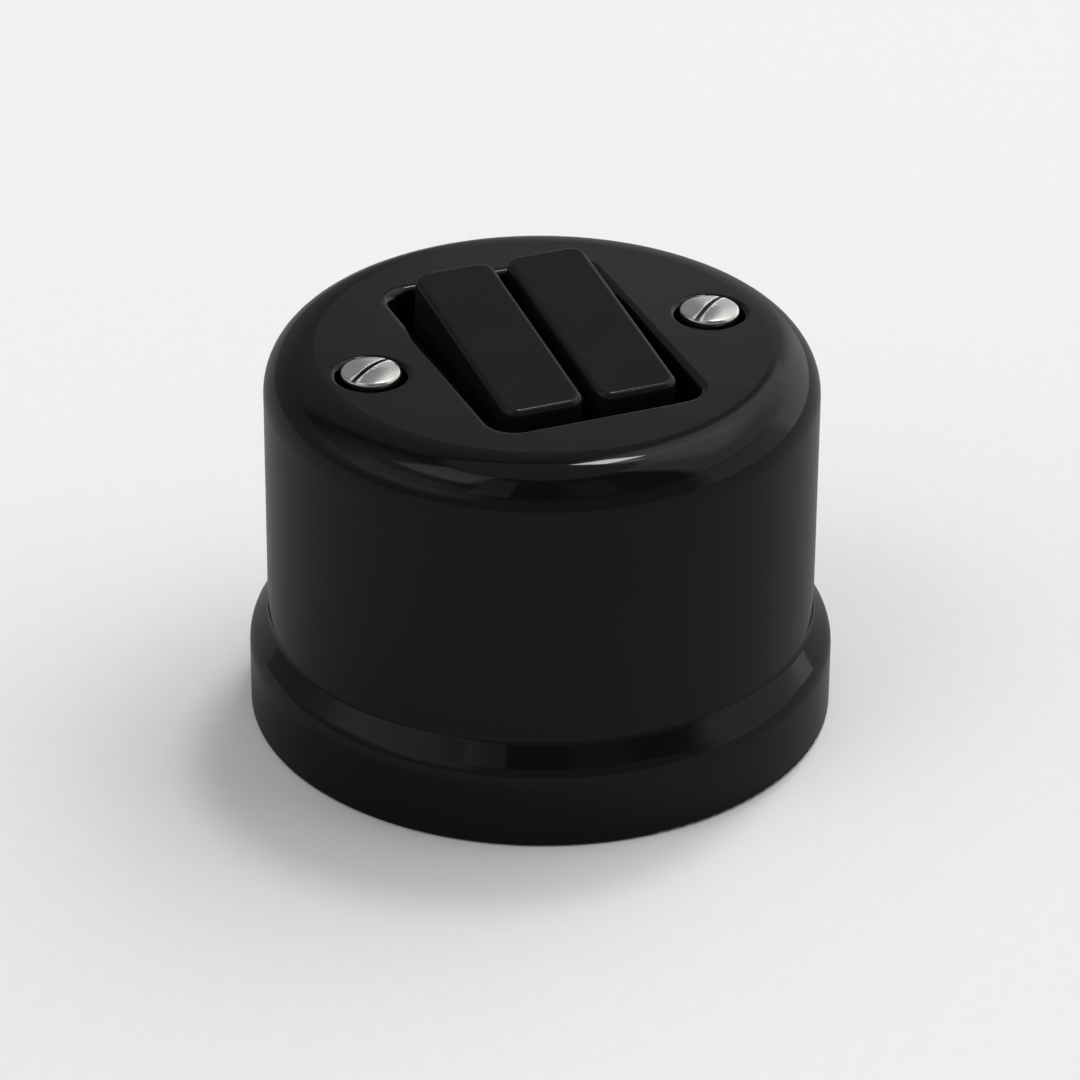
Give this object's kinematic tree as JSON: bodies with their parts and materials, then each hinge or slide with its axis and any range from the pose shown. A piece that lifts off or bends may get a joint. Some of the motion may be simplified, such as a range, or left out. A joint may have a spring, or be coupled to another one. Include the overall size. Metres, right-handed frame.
{
  "type": "blind switch",
  "caption": "Round glazed ceramic surface switch for a window blind: drum cover with a foot flange, side-by-side rocker keys, slotted cover screws and sprung changeover contacts inside.",
  "frame": {"origin": "centre of the back, which lies on the wall", "axes": "+Z out of the wall, +X along the line of the cover screws, +Y along the keys from their pressed ends to their raised ends"},
  "size_m": [0.0654, 0.0654, 0.0484],
  "materials": {
    "glazed_porcelain": "black gloss glaze",
    "bare_porcelain": "fired, unglazed",
    "key_plastic": "moulded black gloss",
    "nickel_plate": "nickel plated, lightly brushed",
    "brass": "rolled and turned brass",
    "zinc_steel": "zinc plated",
    "spring_steel": "drawn wire",
    "contact_silver": "silver, satin",
    "housing_plastic": "moulded, matt black",
    "plunger_plastic": "moulded, natural",
    "fibre_sheet": "pressed black fibre"
  },
  "bodies": {
    "switch_body": {"ceramic_cover": "glazed_porcelain", "ceramic_base": "bare_porcelain", "cover_screws": "nickel_plate", "threaded_pillars": "brass", "pillar_screws": "zinc_steel", "housing_screws": "zinc_steel", "mechanism_housing": "housing_plastic", "insulating_plate": "fibre_sheet", "line_terminal": "brass", "up_terminal": "brass", "down_terminal": "brass", "link_strap": "brass", "fixed_contacts": "contact_silver", "terminal_clamps": "zinc_steel", "terminal_screws": "zinc_steel"},
    "up_key": {"up_key": "key_plastic", "up_spring": "spring_steel"},
    "up_plunger": {"up_plunger": "plunger_plastic"},
    "up_rocker": {"up_contact_rocker": "brass", "up_rocker_rivets": "contact_silver"},
    "down_key": {"down_key": "key_plastic", "down_spring": "spring_steel"},
    "down_plunger": {"down_plunger": "plunger_plastic"},
    "down_rocker": {"down_contact_rocker": "brass", "down_rocker_rivets": "contact_silver"}
  },
  "joints": [
    {"name": "up_key_rock", "type": "hinge", "parent": "switch_body", "child": "up_key", "pos_m": [-0.00545, 0, 0.0415], "axis": [-1, 0, 0], "range_deg": [0, 14.4]},
    {"name": "up_plunger_slide", "type": "slide", "parent": "up_key", "child": "up_plunger", "axis": [0, -0.1253, 0.9921], "range_m": [0, 0.0005], "stiffness_N_per_m": 200, "springref_m": -0.002, "deforming": ["up_spring"]},
    {"name": "up_rocker_rock", "type": "hinge", "parent": "switch_body", "child": "up_rocker", "pos_m": [-0.00545, 0, 0.0275], "axis": [1, 0, 0], "range_deg": [0, 14.4]},
    {"name": "down_key_rock", "type": "hinge", "parent": "switch_body", "child": "down_key", "pos_m": [0.00545, 0, 0.0415], "axis": [-1, 0, 0], "range_deg": [0, 14.4]},
    {"name": "down_plunger_slide", "type": "slide", "parent": "down_key", "child": "down_plunger", "axis": [0, -0.1253, 0.9921], "range_m": [0, 0.0005], "stiffness_N_per_m": 200, "springref_m": -0.002, "deforming": ["down_spring"]},
    {"name": "down_rocker_rock", "type": "hinge", "parent": "switch_body", "child": "down_rocker", "pos_m": [0.00545, 0, 0.0275], "axis": [1, 0, 0], "range_deg": [0, 14.4]}
  ],
  "couplings": [
    {"joint": "up_rocker_rock", "follows": "up_key_rock", "ratio": 1},
    {"joint": "down_rocker_rock", "follows": "down_key_rock", "ratio": 1}
  ]
}
